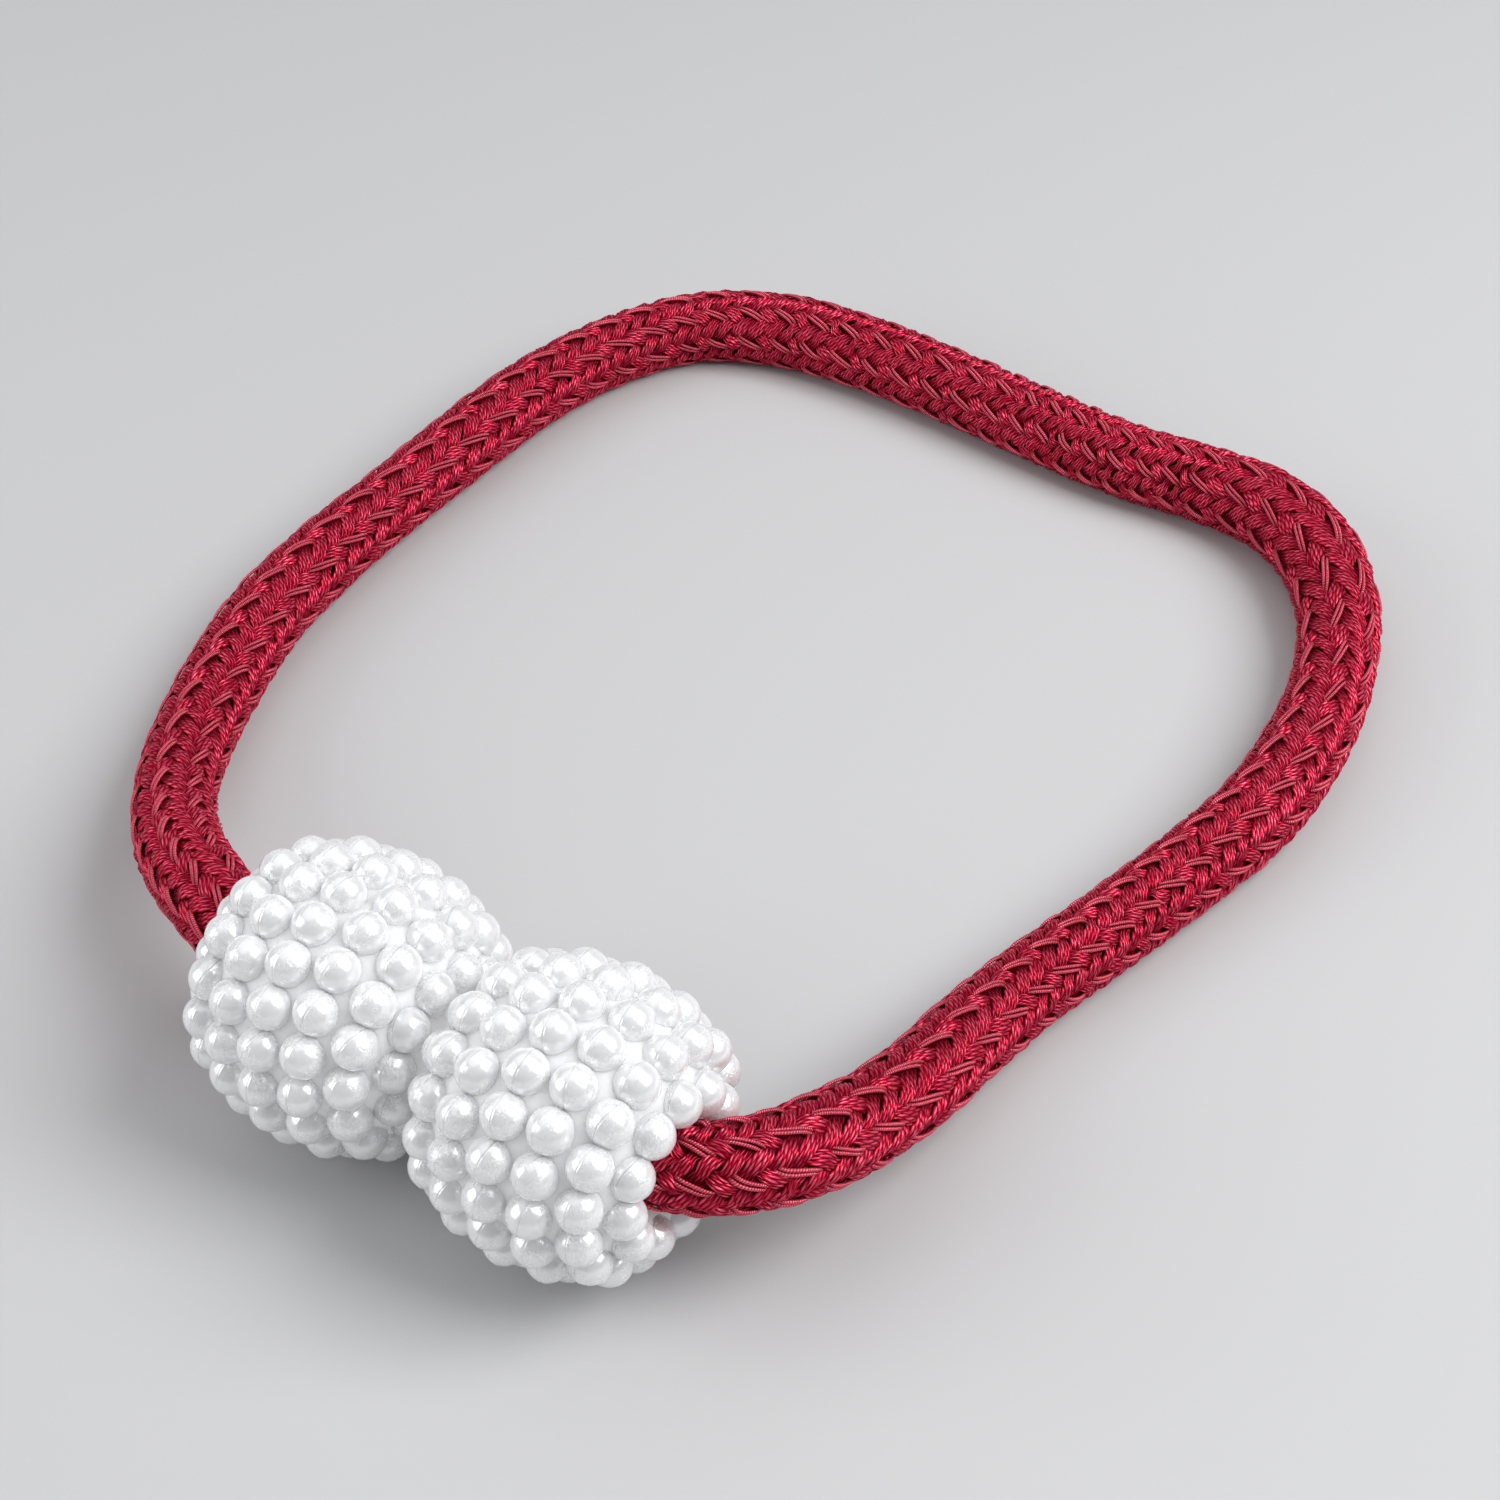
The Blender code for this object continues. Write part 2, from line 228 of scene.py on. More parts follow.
# Latitudes of a bead's rows from one pole to the other, in degrees, with the share by
# which its moulding seam stands out, or falls back into a fold.
BeadRow = namedtuple("BeadRow", "latitude swell")
BEAD_ROWS = (
    BeadRow(-73, 0), BeadRow(-56, 0), BeadRow(-40, 0), BeadRow(-25, 0), BeadRow(-12, 0),
    BeadRow(-6, 0), BeadRow(-3.6, 0.001), BeadRow(-1.5, -0.024), BeadRow(1.1, 0.022),
    BeadRow(3.4, 0.004), BeadRow(6, 0), BeadRow(12, 0), BeadRow(25, 0), BeadRow(40, 0),
    BeadRow(56, 0), BeadRow(73, 0),
)
BEAD_UNEVENNESS = 0.006  # share of a bead's radius

# Features a metre in the grain of each finish, and the height of its relief.
TONE_GRAIN = 330.0
FIBRE_GRAIN = 700.0
CORE_GRAIN = 900.0
PATCH_GRAIN = 330.0
CRINKLE_GRAIN = 2600.0
FOLD_SHADE_GRAIN = 450.0
BODY_GRAIN = 300.0
YARN_RELIEF = 0.00012
PEARL_RELIEF = 0.00008
BODY_RELIEF = 0.00005

FLOOR_REACH = 3.0

# Square soft lights: the direction each hangs in from the target, how far off, and
# the length of its sides.
SoftLight = namedtuple("SoftLight", "name direction distance size")
LIGHTS = (
    SoftLight("key_light", (0.632, 0.199, 0.747), 0.9, 0.62),
    SoftLight("fill_light", (-0.66, -0.66, 0.42), 0.9, 0.6),
    SoftLight("top_light", (-0.25, 0.15, 0.95), 2.2, 3.0),
)


def smooth_through(knots, values, places):
    """Values at the given places on a smooth curve through the values at the knots.

    The curve between two knots is a cubic whose slopes are those of its neighbours,
    weighed by their distances.
    """
    gaps = np.diff(knots)[:, None]
    chords = np.diff(values, axis=0) / gaps
    inner = (chords[:-1] * gaps[1:] + chords[1:] * gaps[:-1]) / (gaps[:-1] + gaps[1:])
    slopes = np.concatenate([chords[:1], inner, chords[-1:]])
    index = np.clip(np.searchsorted(knots, places, side="right") - 1, 0, len(knots) - 2)
    gap = gaps[index]
    t = (places[:, None] - knots[index][:, None]) / gap
    start = values[index] * (2 * t**3 - 3 * t**2 + 1) + slopes[index] * gap * (t**3 - 2 * t**2 + t)
    end = values[index + 1] * (3 * t**2 - 2 * t**3) + slopes[index + 1] * gap * (t**3 - t**2)
    return start + end


class RopeLine:
    """The rope's run: its middle, directions and width at any distance along it."""

    STEPS = 3000

    def __init__(self):
        rows = []
        for point in ROUTE:
            height = point.lift + point.width / 2 - FLAT_DEPTH
            rows.append((point.x + CLOSURE[0], point.y + CLOSURE[1], height, point.width))
        rows = np.array(rows)
        knots = np.concatenate([[0.0], np.cumsum(np.linalg.norm(np.diff(rows, axis=0), axis=1))])
        fine = smooth_through(knots, rows, np.linspace(0, knots[-1], self.STEPS))
        middle = fine[:, :3]
        self.along = np.concatenate(
            [[0.0], np.cumsum(np.linalg.norm(np.diff(middle, axis=0), axis=1))])
        self.length = self.along[-1]
        heading = np.gradient(middle, self.along, axis=0)
        heading /= np.linalg.norm(heading, axis=1)[:, None]
        up = np.array([0.0, 0.0, 1.0]) - heading[:, 2:] * heading
        up /= np.linalg.norm(up, axis=1)[:, None]
        inward = np.cross(heading, up)
        self.columns = np.hstack([middle, up, inward, fine[:, 3:]])
        self.path = rows[:, :3]

    def at(self, along):
        """Middle, up and inward directions and width of the rope at these distances."""
        columns = np.stack([np.interp(along, self.along, c) for c in self.columns.T], axis=-1)
        return columns[..., 0:3], columns[..., 3:6], columns[..., 6:9], columns[..., 9]

    def points(self, along, angle, depth):
        """Points by distance along the rope, angle from its top and depth under its skin."""
        middle, up, inward, width = self.at(along)
        outward = up * np.cos(angle)[..., None] + inward * np.sin(angle)[..., None]
        points = middle + outward * (width / 2 - depth)[..., None]
        points[..., 2] = np.maximum(points[..., 2], SURFACE_CLEARANCE)
        return points


class BraidPlan:
    """How far the braid has come at each distance along the rope, and the other way round."""

    STEPS = 4000

    def __init__(self):
        table = np.array(BRAID)
        along = np.linspace(table[0, 0], table[-1, 0], self.STEPS)
        rings, turn = smooth_through(table[:, 0], table[:, 1:], along).T
        self.along, self.rings, self.turn = along, np.maximum.accumulate(rings), np.radians(turn)

    def along_at(self, rings):
        """Distance along the rope at so many rings."""
        return np.interp(rings, self.rings, self.along)

    def rings_at(self, along):
        """Rings that lie before this distance."""
        return np.interp(along, self.along, self.rings)

    def turn_at(self, along):
        """Angle of the first rib from the rope's top at this distance."""
        return np.interp(along, self.along, self.turn)


ROPE = RopeLine()
PLAN = BraidPlan()


class Wander:
    """Slow, even unevenness: a few waves with drawn phases, one set for each strand."""

    def __init__(self, draw, waves=4):
        self.phases = draw.uniform(0, 2 * pi, waves)
        self.lengths = draw.uniform(0.35, 1.6, waves)

    def __call__(self, place):
        total = sum(np.sin(place * 2 * pi / length + phase)
                    for length, phase in zip(self.lengths, self.phases))
        return total / len(self.phases) ** 0.5


class Strand:
    """The middle line of one strand of the braid, row by row.

    first_ring is the ring at which it lies on the first rib, and lean is +1 for a strand
    that turns inwards along the rope and -1 for the other way. reach is how much longer
    its float is than an even one, in rings, and drift is how far it wanders sideways.
    cord_side is +1 or -1 where it carries a pair of cords after or before its lowest
    point, and 0 where it carries none.
    """

    def __init__(self, first_ring, lean, reach, drift, rows=FLOAT_ROWS, cord_side=0):
        low, high = PLAN.rings[0], PLAN.rings[-1]
        first = int(np.floor(low - first_ring)) - 1
        last = int(np.ceil(high - first_ring)) + 1
        share = np.array([n + step for n in range(first, last) for step in rows])
        rings = first_ring + share + reach * np.sin(2 * pi * share)
        inside = (rings > low) & (rings < high)
        self.first_ring, self.lean, self.cord_side = first_ring, lean, cord_side
        self.share = share[inside]
        self.along = PLAN.along_at(rings[inside]) + drift(self.share)
        self.angle = PLAN.turn_at(self.along) + self.rib() + lean * RIB_SPACING * self.share
        self.girth = ROPE.at(self.along)[3] / 2
        step_along = np.gradient(self.along)
        step_round = np.gradient(self.angle) * self.girth
        step = np.hypot(step_along, step_round)
        self.ahead, self.aside = step_along / step, step_round / step
        self.length = np.cumsum(step)

    def rib(self):
        """Angle from a rib of wrapped cords to the ribs where this strand shows."""
        return 0.0 if self.lean > 0 else RIB_SPACING / 2

    def spacing(self):
        """Distance from the middle of a strand to the next one laid the same way."""
        return RIB_SPACING / 2 * self.girth * self.ahead

    def crossing(self, along, angle):
        """How far along the strand the strands that cross it lie at these places."""
        turn = (angle - PLAN.turn_at(along) - self.rib()) * self.lean / RIB_SPACING
        return (turn + PLAN.rings_at(along) - self.first_ring) / 2

    def sweep(self, across, rise, crest_depth, under_depth):
        """Points of a section swept along the strand, and how high each one lies.

        across and rise are offsets over the rope's skin and outwards from it, with one
        row for each row of the strand. The strand rises and dives along the edges of
        the strands that cross it, so its own edges do so at different rows.
        """
        along = self.along[:, None] - across * self.aside[:, None]
        angle = self.angle[:, None] + across * (self.ahead / self.girth)[:, None]
        shift = self.crossing(along, angle) - self.crossing(self.along, self.angle)[:, None]
        share = self.share[:, None] + shift
        height = np.tanh(SQUARENESS * np.cos(2 * pi * share)) / np.tanh(SQUARENESS)
        if self.cord_side:
            away = (share - CORD_CROSSING * self.cord_side) % 1 - 0.5
            height = height + CORD_LIFT * np.exp(-(away / CORD_ROOM) ** 2)
        depth = (crest_depth + under_depth) / 2 - height * (under_depth - crest_depth) / 2
        return ROPE.points(along, angle, depth - rise), height


class MeshParts:
    """Closed tubes gathered into one mesh, with the values their finish needs."""

    def __init__(self):
        self.points, self.faces, self.values = [], [], {}
        self.count = 0

    def add_tube(self, rows, **values):
        """Adds a closed tube from rows of points; each value has one number a point."""
        length, sides = rows.shape[:2]
        index = np.arange(length * sides).reshape(length, sides) + self.count
        ahead = np.roll(index, -1, axis=1)
        quads = np.stack([index[:-1], ahead[:-1], ahead[1:], index[1:]], axis=-1).reshape(-1, 4)
        self.faces += quads.tolist()
        self.faces.append(index[0, ::-1].tolist())
        self.faces.append(index[-1].tolist())
        self.points.append(rows.reshape(-1, 3))
        for key, value in values.items():
            self.values.setdefault(key, []).append(
                np.broadcast_to(value, rows.shape[:2]).reshape(-1))
        self.count += length * sides

    def build(self, name, material):
        """The gathered mesh as one smooth object."""
        mesh = bpy.data.meshes.new(name)
        mesh.from_pydata(np.concatenate(self.points).tolist(), [], self.faces)
        for key, value in self.values.items():
            layer = mesh.attributes.new(key, 'FLOAT', 'POINT')
            layer.data.foreach_set("value", np.concatenate(value).astype(np.float32))
        return finished_object(name, mesh, material)


def finished_object(name, mesh, material):
    """Puts a mesh in the scene as a smooth object with its material."""
    mesh.validate()
    mesh.update()
    mesh.shade_smooth()
    mesh.materials.append(material)
    piece = bpy.data.objects.new(name, mesh)
    bpy.context.scene.collection.objects.link(piece)
    return piece


def bundle_section(yarns, relief):
    """Section of a flat bundle with half width and half thickness 1.

    Gives its places across, its rises, and the yarn number at each place. Each yarn is
    a rounded lobe on its outer side, with a valley to the next one.
    """
    yarn = np.arange(4 * yarns + 1) / 4
    top = 2 * yarn / yarns - 1
    crown = (1 - np.abs(top) ** 2.2) ** 0.6 + relief * np.sin(pi * (yarn % 1)) ** 0.7
    under = np.array([0.6, -0.6])
    across = np.concatenate([top, under])
    rise = np.concatenate([crown, np.full(2, -0.85)])
    return across, rise, np.concatenate([yarn, (under + 1) / 2 * yarns])


def add_bundle(parts, settings, first_ring, lean, number, draw):
    """Adds one flat bundle of the braid."""
    wander = Wander(draw)
    cord_side = 0 if lean > 0 else (1 if first_ring % 1 < 0.5 else -1)
    strand = Strand(first_ring, lean, settings.bundle_reach,
                    lambda share: settings.unevenness * wander(share),
                    FLOAT_ROWS if lean > 0 else EVEN_ROWS, cord_side)
    swell, thickness = Wander(draw), Wander(draw)
    full = settings.pinch + (1 - settings.pinch) * np.sqrt(
        np.cos(pi * strand.share) ** 2 + 0.01)
    half_width = strand.spacing() * settings.bundle_fill / 2 * full
    half_width = half_width * (1 + BUNDLE_SWELL * swell(strand.share))
    half_thick = settings.bundle_thickness / 2 * (
        1 + BUNDLE_THICKENING * thickness(strand.share))
    across, rise, yarn = bundle_section(settings.yarns, settings.yarn_relief)
    rise = np.repeat(rise[None, :], len(half_width), axis=0)
    for index in range(settings.yarns):
        lift = YARN_RISE * Wander(draw)(strand.share)
        rise[:, 4 * index + 1:4 * index + 4] += lift[:, None]
    rows, height = strand.sweep(
        across * half_width[:, None], rise * half_thick[:, None],
        settings.crest_depth, settings.under_depth)
    parts.add_tube(rows, along=strand.length[:, None],
                   yarn=yarn[None, :] + YARN_STRIDE * number, crest=height)


def add_wrapped_pair(parts, settings, first_ring, number, draw):
    """Adds one pair of thin wrapped cords, side by side."""
    wander = Wander(draw)
    strand = Strand(first_ring, 1, settings.cord_reach,
                    lambda share: settings.unevenness * wander(share))
    around = np.arange(settings.cord_sides) * -2 * pi / settings.cord_sides
    radius = settings.cord_thickness / 2
    for side in (-1, 1):
        spread, lift = Wander(draw), Wander(draw)
        offset = side * radius * (CORD_APART + CORD_WAVER * spread(strand.share))
        rise = CORD_RISE * lift(strand.share)
        rows, height = strand.sweep(
            offset[:, None] + radius * np.cos(around), rise[:, None] + radius * np.sin(around),
            settings.cord_crest_depth, settings.cord_under_depth)
        parts.add_tube(rows, along=strand.length[:, None],
                       yarn=YARN_STRIDE * number + 5.0 * side + 0.5 + 0.3 * np.cos(around),
                       crest=height)


# Finishes

class Nodes:
    """Short ways to add and join shader nodes in one tree."""

    def __init__(self, tree):
        self.tree = tree

    def add(self, kind, inputs=None, **settings):
        """A node whose inputs are numbers, colours or other nodes' outputs."""
        node = self.tree.nodes.new(kind)
        for key, value in settings.items():
            setattr(node, key, value)
        for key, value in (inputs or {}).items():
            if isinstance(value, bpy.types.NodeSocket):
                self.tree.links.new(value, node.inputs[key])
            else:
                node.inputs[key].default_value = value
        return node

    def math(self, operation, first, second=0.0, third=0.0):
        """One sum of up to three numbers or outputs."""
        inputs = {0: first, 1: second, 2: third}
        return self.add('ShaderNodeMath', inputs, operation=operation).outputs[0]

    def mix(self, share, first, second):
        """The first colour, turning into the second one as share goes to 1."""
        node = self.add('ShaderNodeMix', {"Factor": share}, data_type='RGBA')
        for index, value in ((6, first), (7, second)):
            if isinstance(value, bpy.types.NodeSocket):
                self.tree.links.new(value, node.inputs[index])
            else:
                node.inputs[index].default_value = value
        return node.outputs[2]

    def place(self):
        """The point's own place on the piece, in metres."""
        return self.add('ShaderNodeTexCoord').outputs["Object"]

    def grain(self, scale, detail=2.0):
        """Soft noise with so many features a metre."""
        inputs = {"Vector": self.place(), "Scale": scale, "Detail": detail}
        return self.add('ShaderNodeTexNoise', inputs).outputs["Fac"]

    def ramp(self, value, low, high):
        """0 at low and 1 at high, and even beyond them."""
        inputs = {"Value": value, "From Min": low, "From Max": high}
        return self.add('ShaderNodeMapRange', inputs).outputs["Result"]


def color4(color):
    """A colour with full cover."""
    return (*color, 1.0)


def yarn_group():
    """Shader group for plied silky yarn, made once, with painted shade in its gaps and a painted
    highlight on its plies.

    It reads the strand's own distances, so the twist follows each strand.
    """
    name = "Silky plied yarn"
    if name in bpy.data.node_groups:
        return bpy.data.node_groups[name]
    group = bpy.data.node_groups.new(name, 'ShaderNodeTree')
    for socket, direction, kind in (
            ("Deep", 'INPUT', 'NodeSocketColor'), ("Body", 'INPUT', 'NodeSocketColor'),
            ("Lustre", 'INPUT', 'NodeSocketColor'), ("Twist Length", 'INPUT', 'NodeSocketFloat'),
            ("Slant", 'INPUT', 'NodeSocketFloat'), ("Wander", 'INPUT', 'NodeSocketFloat'),
            ("Color", 'OUTPUT', 'NodeSocketColor'), ("Height", 'OUTPUT', 'NodeSocketFloat')):
        group.interface.new_socket(name=socket, in_out=direction, socket_type=kind)
    nodes = Nodes(group)
    given = nodes.add('NodeGroupInput').outputs
    along = nodes.add('ShaderNodeAttribute', attribute_name="along").outputs["Fac"]
    yarn = nodes.add('ShaderNodeAttribute', attribute_name="yarn").outputs["Fac"]
    crest = nodes.add('ShaderNodeAttribute', attribute_name="crest").outputs["Fac"]

    # Where the point lies on its own yarn, and what sets that yarn apart.
    number = nodes.math('FLOOR', yarn)
    across = nodes.math('FRACT', yarn)
    own = nodes.add('ShaderNodeTexWhiteNoise', {"W": number}, noise_dimensions='1D')
    own = own.outputs["Value"]
    slow_place = nodes.add('ShaderNodeCombineXYZ', {
        "X": nodes.math('MULTIPLY', along, TONE_GRAIN),
        "Y": nodes.math('MULTIPLY', number, 3.7)}).outputs[0]
    slow = nodes.add('ShaderNodeTexNoise', {"Vector": slow_place, "Scale": 1.0, "Detail": 2.0},
                     noise_dimensions='2D').outputs["Fac"]

    # The plies: turns made so far, slanted over the yarn and uneven along it.
    turns = nodes.math('DIVIDE', along, given["Twist Length"])
    turns = nodes.math('MULTIPLY_ADD', across, given["Slant"], turns)
    turns = nodes.math('MULTIPLY_ADD', own, 7.0, turns)
    turns = nodes.math('MULTIPLY_ADD', slow, given["Wander"], turns)
    ply = nodes.math('ABSOLUTE', nodes.math('SINE', nodes.math('MULTIPLY', turns, pi)))

    # Single fibres, which follow the plies.
    fine_place = nodes.add('ShaderNodeCombineXYZ', {
        "X": nodes.math('MULTIPLY', along, FIBRE_GRAIN),
        "Y": nodes.math('MULTIPLY', nodes.math('MULTIPLY_ADD', turns, 0.8, yarn), 6.0),
    }).outputs[0]
    fibre = nodes.add('ShaderNodeTexNoise', {"Vector": fine_place, "Scale": 1.0, "Detail": 3.0},
                      noise_dimensions='2D').outputs["Fac"]

    # Painted shade between yarns, plies and strands, and a painted highlight on the plies' crests
    # on their highest places.
    side = nodes.math('MULTIPLY_ADD', across, 2.0, -1.0)
    round_yarn = nodes.math('SQRT', nodes.math('MAXIMUM', nodes.math(
        'MULTIPLY_ADD', nodes.math('MULTIPLY', side, side), -0.96, 1.0), 0.0))
    # raised is 0 where the strand lies low under crossing strands, where its colour turns to
    # painted shade, and 1 on its crests.
    raised = nodes.ramp(crest, -0.8, 0.85)
    # shape is low between the plies and at each yarn's sides, where the colour turns to painted
    # shade.
    shape = nodes.math('MULTIPLY', nodes.ramp(ply, -0.3, 0.85), nodes.ramp(round_yarn, -0.1, 0.9))
    body = nodes.mix(shape, given["Deep"], given["Body"])
    tone = nodes.math('MULTIPLY', nodes.ramp(fibre, 0.3, 0.62), nodes.ramp(slow, 0.2, 0.6))
    peak = nodes.math('MULTIPLY', nodes.ramp(ply, 0.45, 0.95), nodes.ramp(round_yarn, 0.45, 0.9))
    # Painted highlight on the plies' crests, at random strength, only where the strand lies high.
    highlight_paint = nodes.math('MULTIPLY', peak, nodes.math('MULTIPLY', tone, raised))
    body = nodes.mix(highlight_paint, body, given["Lustre"])
    # Painted shade where the strand dives under crossing strands.
    color = nodes.mix(raised, given["Deep"], body)
    height = nodes.math('MULTIPLY', nodes.math(
        'MULTIPLY_ADD', nodes.math('MULTIPLY', ply, ply), 0.6, 0.4), round_yarn)
    height = nodes.math('MULTIPLY_ADD', fibre, 0.1, height)
    nodes.add('NodeGroupOutput', {"Color": color, "Height": height})
    return group


def new_material(name, even):
    """A material with its node helper and its shader.

    even has the shader's numbers and colours that are the same all over the piece.
    """
    material = bpy.data.materials.new(name)
    material.use_nodes = True
    shader = material.node_tree.nodes["Principled BSDF"]
    for key, value in even.items():
        shader.inputs[key].default_value = value
    return material, Nodes(material.node_tree), shader


def silk_material(name, settings, body, twist):
    """Silky plied yarn with this colour for its body, with painted shade in its gaps and a painted
    highlight on its plies from the yarn group.
    """
    material, nodes, shader = new_material(name, {
        "Roughness": 0.32, "Metallic": 0.6, "Specular IOR Level": 0.1,
        "Specular Tint": (1.0, 0.4, 0.5, 1.0)})
    group = nodes.add('ShaderNodeGroup', node_tree=yarn_group())
    for key, value in (("Deep", color4(settings.painted_shade_color)), ("Body", color4(body)),
                       ("Lustre", color4(settings.painted_highlight_color)),
                       ("Twist Length", twist.length), ("Slant", twist.slant),
                       ("Wander", twist.wander)):
        group.inputs[key].default_value = value
    bump = nodes.add('ShaderNodeBump', {"Strength": 1.0, "Distance": YARN_RELIEF,
                                        "Height": group.outputs["Height"]})
    links = material.node_tree.links
    links.new(group.outputs["Color"], shader.inputs["Base Color"])
    links.new(bump.outputs["Normal"], shader.inputs["Normal"])
    return material


def core_material(settings):
    """Core of the rope, coloured in the painted shade of the gaps, a little darker and lighter at
    random; it shows only between the strands.
    """
    material, nodes, shader = new_material("rope_core_yarn", {"Roughness": 0.8})
    noise = nodes.grain(CORE_GRAIN, 3.0)
    shade_paint = settings.painted_shade_color
    # Painted shade: the core takes the shade colour of the gaps, varied at random.
    color = nodes.mix(noise, color4([c * 0.6 for c in shade_paint]), color4([c * 1.2 for c in shade_paint]))
    material.node_tree.links.new(color, shader.inputs["Base Color"])
    return material


def pearl_material(settings):
    """Clear lacquer over crinkled pearl pigment."""
    material, nodes, shader = new_material("pearl_bead", {
        "Coat Weight": 1.0, "Coat Roughness": 0.08, "Coat IOR": 1.55,
        "Sheen Weight": 0.7, "Sheen Roughness": 0.3, "Sheen Tint": (0.95, 0.97, 1.0, 1.0),
        "Subsurface Weight": 0.9, "Subsurface Radius": (1.0, 0.97, 0.94),
        "Subsurface Scale": 0.004})
    links = material.node_tree.links
    patch = nodes.ramp(nodes.grain(PATCH_GRAIN), 0.48, 0.62)
    crinkle = nodes.ramp(nodes.grain(CRINKLE_GRAIN, 3.0), 0.45, 0.62)
    mottle = nodes.math('MULTIPLY', patch, crinkle)
    color = nodes.mix(mottle, color4(settings.pearl_color), color4(settings.mottle_color))
    # Painted shade in the fold of each bead's seam, stronger and weaker at random.
    fold = nodes.add('ShaderNodeAttribute', attribute_name="seam").outputs["Fac"]
    fold = nodes.math('MULTIPLY', fold, nodes.ramp(nodes.grain(FOLD_SHADE_GRAIN), 0.3, 0.75))
    links.new(nodes.mix(fold, color, color4(settings.seam_shade_color)), shader.inputs["Base Color"])
    rough = nodes.math('MULTIPLY_ADD', patch, 0.06, 0.22)
    links.new(nodes.math('MULTIPLY_ADD', crinkle, 0.05, rough), shader.inputs["Roughness"])
    rim = nodes.add('ShaderNodeLayerWeight', {"Blend": 0.5}).outputs["Facing"]
    lustre = nodes.math('MULTIPLY', nodes.ramp(rim, 0.7, 0.35), 0.32)
    links.new(lustre, shader.inputs["Metallic"])
    bump = nodes.add('ShaderNodeBump', {
        "Strength": 0.5, "Distance": PEARL_RELIEF, "Height": mottle})
    links.new(bump.outputs["Normal"], shader.inputs["Normal"])
    return material


def body_material(settings):
    """Milky plastic of the ball under its beads, with a faint painted glow that stands in for
    light coming through them.
    """
    base = settings.body_color
    material, nodes, shader = new_material("ball_body_plastic", {
        # Painted light: a faint emission in the body's own colour makes it glow, though it is no
        # lamp.
        "Roughness": 0.38, "Emission Color": color4(base), "Emission Strength": 0.14,
        "Subsurface Weight": 0.9, "Subsurface Radius": (1.0, 0.95, 0.9),
        "Subsurface Scale": 0.005})
    links = material.node_tree.links
    noise = nodes.grain(BODY_GRAIN)
    color = nodes.mix(noise, color4([c * 0.94 for c in base]), color4(base))
    links.new(color, shader.inputs["Base Color"])
    bump = nodes.add('ShaderNodeBump', {
        "Strength": 0.1, "Distance": BODY_RELIEF, "Height": noise})
    links.new(bump.outputs["Normal"], shader.inputs["Normal"])
    return material


# Settings

class TiebackRopeSettings(bpy.types.PropertyGroup):
    """Sizes and colours of the braided rope."""

    yarns: IntProperty(
        name="Yarns", description="Plied yarns side by side in each flat bundle",
        default=4, min=3, max=8)
    bundle_fill: FloatProperty(
        name="Bundle fill", description="Width of a flat bundle as a share of the room for it",
        default=1.2, subtype='FACTOR')
    pinch: FloatProperty(
        name="Pinch", description="Width of a bundle where it lies under others, as a share",
        default=0.8, subtype='FACTOR')
    bundle_thickness: FloatProperty(
        name="Bundle thickness", description="Thickness of a flat bundle",
        default=0.00092, unit='LENGTH', precision=5)
    yarn_relief: FloatProperty(
        name="Yarn relief", description="How far each yarn stands out of its bundle, as a share",
        default=0.32, subtype='FACTOR')
    crest_depth: FloatProperty(
        name="Crest depth", description="Depth of a bundle's middle under the skin on a crest",
        default=0.00046, unit='LENGTH', precision=5)
    under_depth: FloatProperty(
        name="Under depth", description="Depth of a bundle's middle where it lies under others",
        default=0.00150, unit='LENGTH', precision=5)
    bundle_reach: FloatProperty(
        name="Bundle reach", description="How much longer a bundle's float is, in rings",
        default=-0.03)
    cord_thickness: FloatProperty(
        name="Cord thickness", description="Thickness of one thin wrapped cord",
        default=0.00050, unit='LENGTH', precision=5)
    cord_crest_depth: FloatProperty(
        name="Cord crest depth", description="Depth of a cord's middle under the skin on a crest",
        default=-0.00005, unit='LENGTH', precision=5)
    cord_under_depth: FloatProperty(
        name="Cord under depth", description="Depth of a cord's middle where it lies under others",
        default=0.0015, unit='LENGTH', precision=5)
    cord_reach: FloatProperty(
        name="Cord reach", description="How much longer a wrapped cord's float is, in rings",
        default=0.15)
    unevenness: FloatProperty(
        name="Unevenness", description="How far a strand wanders along the rope",
        default=0.0002, unit='LENGTH', precision=5)
    cord_sides: IntProperty(
        name="Cord sides", description="Sides of a wrapped cord's section",
        default=6, min=5, max=12)
    core_depth: FloatProperty(
        name="Core depth", description="Depth of the core's face under the skin",
        default=0.0015, unit='LENGTH', precision=5)
    # Colour of the painted shade in the gaps between yarns and strands, also used for the core.
    painted_shade_color: FloatVectorProperty(
        name="Deep red", description="Colour of the yarn in the gaps", subtype='COLOR',
        default=(0.10, 0.0005, 0.005))
    body_color: FloatVectorProperty(
        name="Crimson", description="Colour of the yarn", subtype='COLOR',
        default=(0.51, 0.005, 0.034))
    # Colour of the painted highlight on the crests of the plies.
    painted_highlight_color: FloatVectorProperty(
        name="Lustre", description="Colour of the yarn where its twist catches the light",
        subtype='COLOR', default=(1.0, 0.18, 0.28))
    cord_color: FloatVectorProperty(
        name="Wrapped cord", description="Colour of the wrapped cords", subtype='COLOR',
        default=(0.80, 0.11, 0.155))


